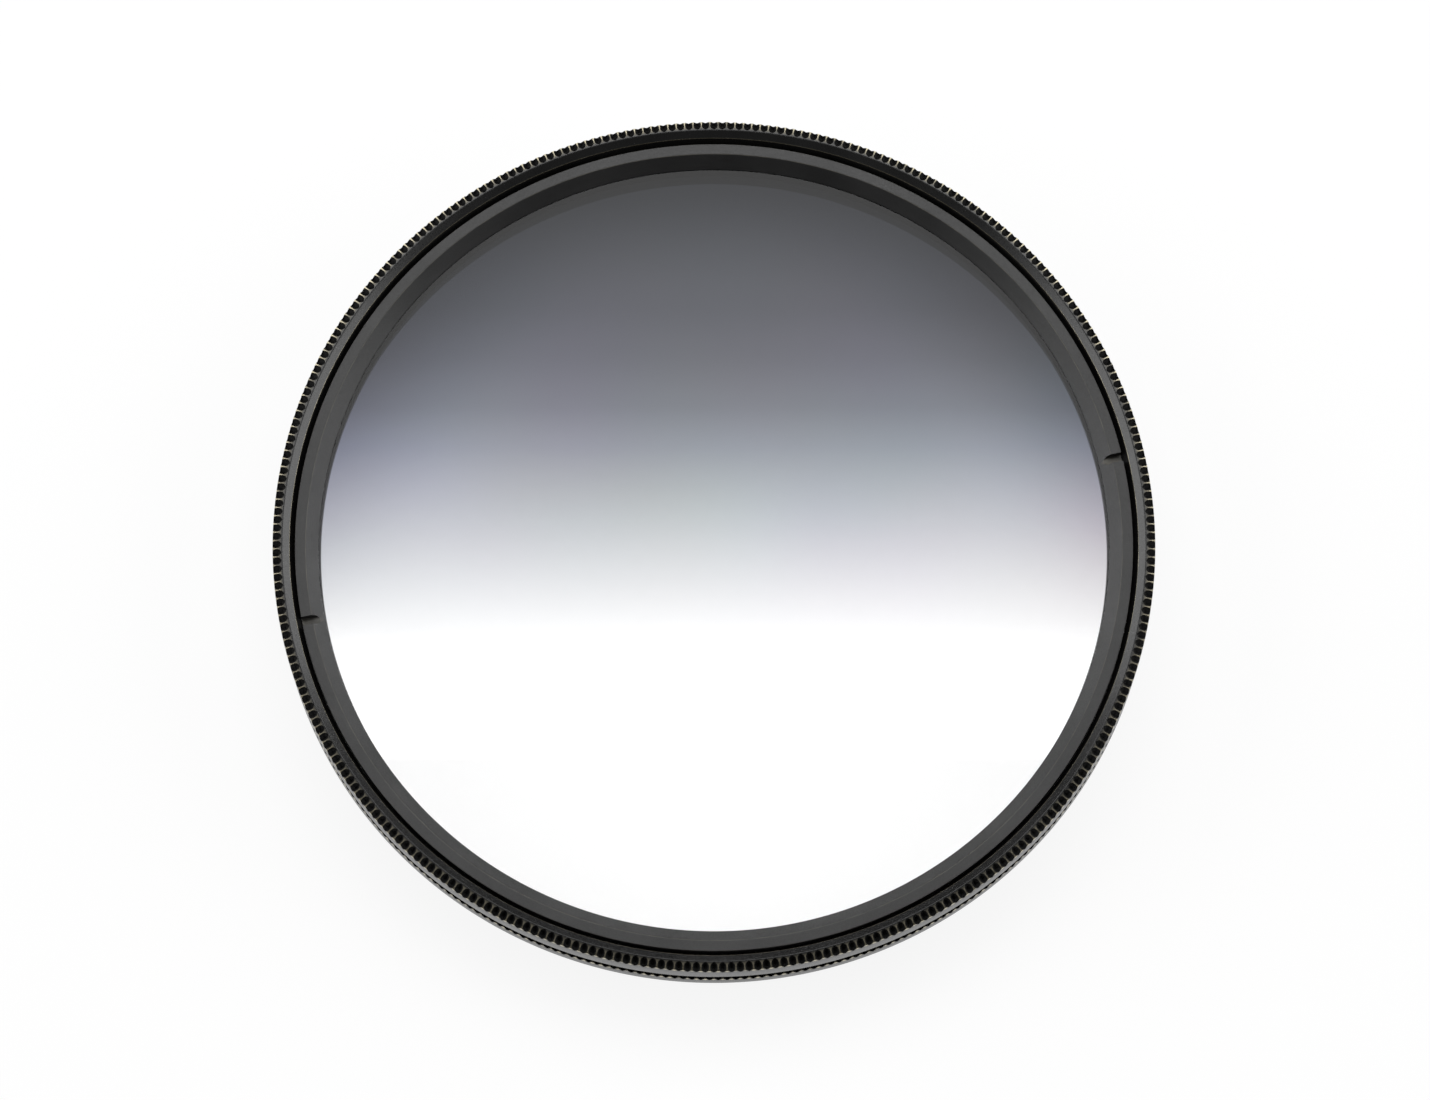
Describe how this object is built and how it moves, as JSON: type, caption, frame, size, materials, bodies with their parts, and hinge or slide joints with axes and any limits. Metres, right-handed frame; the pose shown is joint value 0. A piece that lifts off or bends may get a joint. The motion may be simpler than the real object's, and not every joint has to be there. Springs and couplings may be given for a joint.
{
  "type": "graduated neutral density filter",
  "caption": "Round screw-in camera filter in a slim black rotating mount with knurled edges; its glass fades from grey at one side to clear at the other.",
  "frame": {"origin": "centre of the male thread's end face, on which the filter lies", "axes": "+Z along the optical axis from the lens to the front rim; +Y towards the dark side of the glass"},
  "size_m": [0.0802, 0.0802, 0.0091],
  "materials": {
    "mount_black": "black anodised, satin, bright on the worn edges",
    "ring_black": "black anodised, satin, bright on the worn edges",
    "retainer_black": "black anodised, fine turned satin",
    "graduated_glass": "polished, grey at the +Y side fading to clear at the -Y side",
    "spring_steel": "drawn spring wire"
  },
  "bodies": {
    "mount": {"mount_ring": "mount_black", "snap_ring": "spring_steel"},
    "front": {"rotating_ring": "ring_black", "retaining_ring": "retainer_black", "graduated_glass": "graduated_glass"}
  },
  "joints": [
    {"name": "filter_turn", "type": "hinge", "parent": "mount", "child": "front", "pos_m": [0, 0, 0.0052], "axis": [0, 0, 1], "continuous": true}
  ]
}
